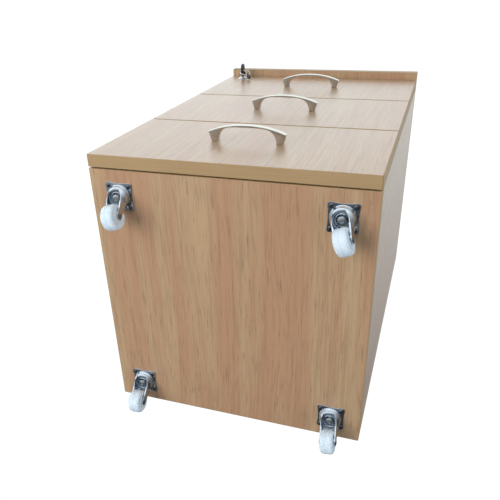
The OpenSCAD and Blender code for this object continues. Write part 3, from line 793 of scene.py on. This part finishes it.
def make_handle(level):
    node = "handle_" + level
    low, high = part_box(node)
    outline = handle_outline(high.x, high.y - low.y - CROWN_DROP, SHOULDER, BAR_T)
    bar = prism(outline, high.z - low.z, 0.9 * MM, 3)
    place = move(0, high.y, low.z) @ Matrix.Diagonal((1, -1, 1, 1))
    finish_piece(bar, node + "_pull", (nickel,), "drawer_" + level, (node,), 50, place)


# ---------------------------------------------------------------- lock, key and ring

def make_lock():
    x, _, z = joints["key_turn"]["pos_m"]
    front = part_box("front_top")[0].y
    place = move(x, front, z) @ turn("X", 90)
    throat = [(5.6, -6), (5.6, 1.9), (5.9, 2.2), (6.6, 2.3), (7.2, 1.9), (7.8, 1.9)]
    rim = [(8.6, 2.4), (9.3, 2.3), (9.8, 1.6), (10, 0.6), (10, 0)]
    barrel = [(8, 0), (8, -23), (5.6, -23)]
    bezel = ring(throat + rim + barrel, segments=64)
    finish_piece(bezel, "lock_bezel", (chrome,), "drawer_top", ("lock_housing",), 40, place)


def bow_outline(reach, height, shoulder):
    """A key's grip: a narrow shoulder that swells into a round-cornered head."""
    half = height / 2
    corner = 0.42 * height
    top = arc((reach - corner, half - corner), corner, 90, 0, 10)
    bottom = arc((reach - corner, corner - half), corner, 0, -90, 10)
    upper = [(0, shoulder), (2.5 * MM, shoulder), (5 * MM, half)]
    lower = [(5 * MM, -half), (2.5 * MM, -shoulder), (0, -shoulder)]
    return upper + top + bottom + lower


def key_shape(reach, height, thick, blade_l, hole_at, hole_r):
    """Grip and blade in the XY plane: the grip towards +X, the blade towards -X. Gives (grip, blade)."""
    grip = moved(prism(bow_outline(reach, height, 4.2 * MM), thick, 0.7 * MM), move(0, 0, -thick / 2))
    hole = moved(lathe([(0, -thick), (hole_r, -thick), (hole_r, thick), (0, thick)], 32), move(hole_at, 0, 0))
    grip = carve(grip, hole)
    teeth = [(-blade_l + 1.5 * MM, -2.9 * MM)]
    for n, cut in enumerate((1.1, 0.5, 1.4, 0.8, 1.2)):
        x = -blade_l + (3.0 + 2.6 * n) * MM
        teeth += [(x, -2.9 * MM), (x + 0.8 * MM, (-2.9 + cut) * MM), (x + 1.6 * MM, (-2.9 + cut) * MM)]
    back = [(1 * MM, 2.9 * MM), (-blade_l + 2 * MM, 2.9 * MM), (-blade_l, 0.5 * MM)]
    outline = back + teeth + [(1 * MM, -2.9 * MM)]
    blade = moved(prism(outline, 1.7 * MM, 0.2 * MM, 1), move(0, 0, -0.85 * MM))
    return grip, blade


def split_ring(radius, wire):
    """Two close turns of wire about Z."""
    steps = 96
    pitch = 1.08 * wire
    points = []
    for i in range(2 * steps + 1):
        a = 2 * pi * i / steps
        points.append(Vector((radius * cos(a), radius * sin(a), pitch * (i / steps - 1))))
    return tube(points, wire / 2, 10)


BOW_HOLE_OUT = 17 * MM
RING_R = 11 * MM


def make_keys():
    """The key in the lock, the split ring through its grip, and a spare key that hangs from the ring."""
    x, _, z = joints["key_turn"]["pos_m"]
    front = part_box("front_top")[0].y
    root = front - 4 * MM
    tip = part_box("key")[0].y
    in_lock = move(x, root, z) @ turn("Y", 90) @ turn("Z", -90)
    grip, blade = key_shape(root - tip, 18 * MM, 3.5 * MM, 20 * MM, BOW_HOLE_OUT - 4 * MM, 4 * MM)
    finish_piece(grip, "key_grip", (plastic,), "lock", ("key",), 40, in_lock)
    finish_piece(blade, "key_blade", (nickel,), "lock", ("key",), 40, in_lock)

    at_ring = move(x, front - BOW_HOLE_OUT, z) @ turn("Y", -45) @ turn("X", -70)
    coil = split_ring(RING_R, 0.85 * MM)
    around = at_ring @ move(0, RING_R, 0)
    finish_piece(coil, "split_ring", (chrome,), "drawer_top", ("key_ring",), 60, around)

    spare = at_ring @ move(0, 2 * RING_R, 0) @ turn("Y", 90) @ turn("Z", 90)
    grip, blade = key_shape(13 * MM, 8 * MM, 3.0 * MM, 16 * MM, 0, 1.6 * MM)
    finish_piece(grip, "spare_grip", (plastic,), "drawer_top", ("spare_key",), 40, spare)
    finish_piece(blade, "spare_blade", (nickel,), "drawer_top", ("spare_key",), 40, spare)


# ---------------------------------------------------------------- CAD nodes that keep their shape

def keep(node, material):
    mesh = frame["nodes"][node].data
    mesh.materials.clear()
    mesh.materials.append(material)


def dress_cad_nodes():
    for node in frame["nodes"]:
        if "rails" in node:
            keep(node, slide_steel)
        elif node.startswith("lock_catch"):
            keep(node, plastic)
        elif node.startswith(("cam_", "handle_screws", "castor_balls", "locking_bar", "lock_plug")):
            keep(node, zinc)


# ---------------------------------------------------------------- assembly

make_boards()
make_castors()
for level in LEVELS:
    make_handle(level)
make_lock()
make_keys()
dress_cad_nodes()
